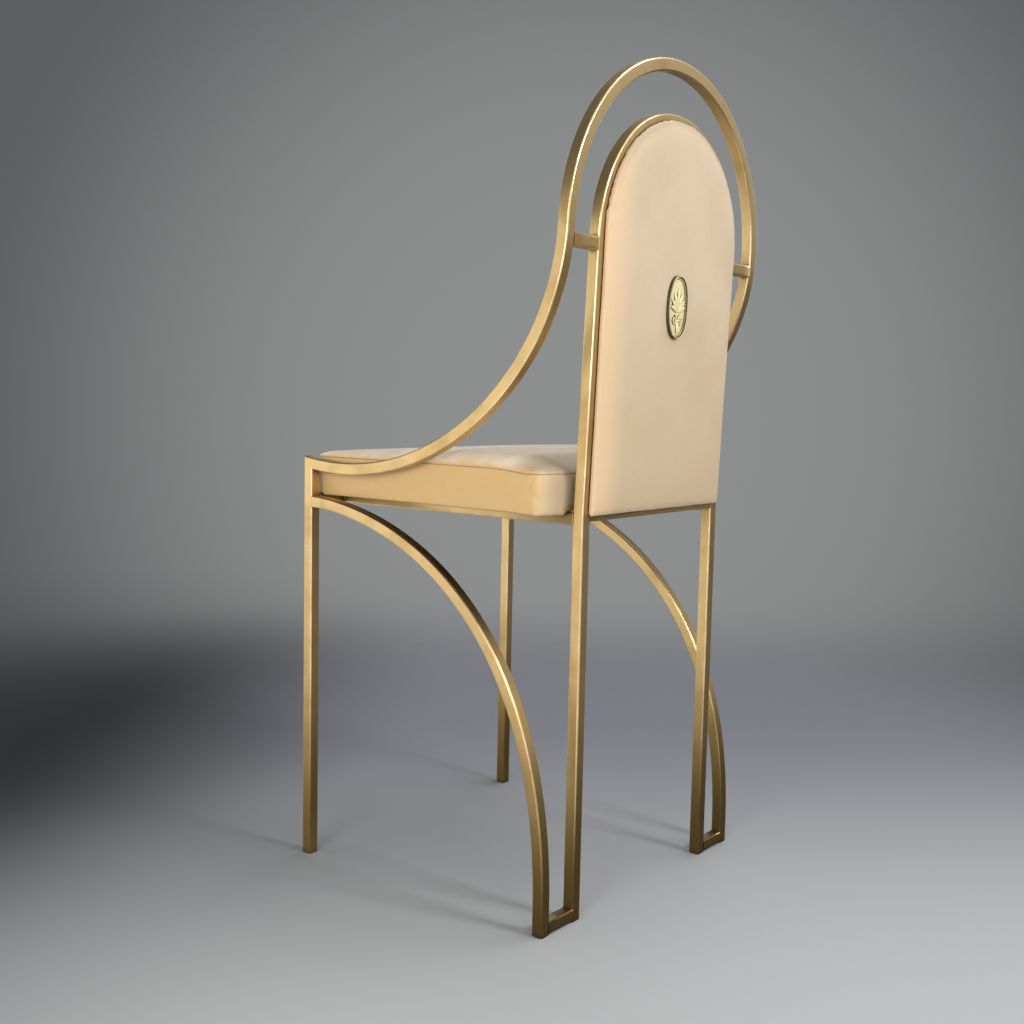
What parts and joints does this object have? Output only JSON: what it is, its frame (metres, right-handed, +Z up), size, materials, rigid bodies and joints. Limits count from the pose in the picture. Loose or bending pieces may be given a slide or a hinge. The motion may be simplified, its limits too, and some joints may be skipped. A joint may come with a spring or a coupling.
{
  "type": "klismos chair",
  "caption": "Slim brass-plated square-tube dining chair with an arched hoop back, curved side sweeps and braces, padded leather seat and back, and an oval back medallion.",
  "frame": {"origin": "on the floor, under the middle of the chair's bounding box", "axes": "+Z up; the sitter faces -Y, so +Y is the chair's back; +X is the sitter's left"},
  "size_m": [0.3976, 0.4142, 0.9528],
  "materials": {
    "brass": "brushed and lacquered",
    "cast_brass": "cast, polished on its high points",
    "leather": "smooth, semi-matt",
    "foam": "matt",
    "plywood": "raw",
    "black_cloth": "matt, woven",
    "black_plastic": "matt",
    "zinc_steel": "zinc plated"
  },
  "bodies": {
    "root": {"front_leg_left": "brass", "front_leg_right": "brass", "sweep_left": "brass", "sweep_right": "brass", "hoop_crown": "brass", "arc_brace_left": "brass", "arc_brace_right": "brass", "rear_post_left": "brass", "rear_post_right": "brass", "arch_crown": "brass", "foot_link_left": "brass", "foot_link_right": "brass", "back_link_left": "brass", "back_link_right": "brass", "front_rail": "brass", "rear_rail": "brass", "side_rail_left": "brass", "side_rail_right": "brass", "glide_front_left": "black_plastic", "glide_front_right": "black_plastic", "glide_brace_left": "black_plastic", "glide_brace_right": "black_plastic", "glide_post_left": "black_plastic", "glide_post_right": "black_plastic", "seat_board": "plywood", "seat_foam": "foam", "seat_cover": "leather", "seat_dust_cover": "black_cloth", "seat_tab_front_left": "brass", "seat_tab_front_right": "brass", "seat_tab_rear_left": "brass", "seat_tab_rear_right": "brass", "seat_screw_front_left": "zinc_steel", "seat_screw_front_right": "zinc_steel", "seat_screw_rear_left": "zinc_steel", "seat_screw_rear_right": "zinc_steel", "back_board": "plywood", "front_pad_foam": "foam", "front_pad_cover": "leather", "back_lug_lower_left": "brass", "back_lug_lower_right": "brass", "back_lug_upper_left": "brass", "back_lug_upper_right": "brass", "back_screw_lower_left": "zinc_steel", "back_screw_lower_right": "zinc_steel", "back_screw_upper_left": "zinc_steel", "back_screw_upper_right": "zinc_steel", "rear_panel": "plywood", "rear_pad_foam": "foam", "rear_pad_cover": "leather", "panel_clip_lower_left": "black_plastic", "panel_clip_lower_right": "black_plastic", "panel_clip_upper_left": "black_plastic", "panel_clip_upper_right": "black_plastic", "medallion": "cast_brass", "medallion_nut_lower": "zinc_steel", "medallion_nut_upper": "zinc_steel"}
  },
  "joints": []
}
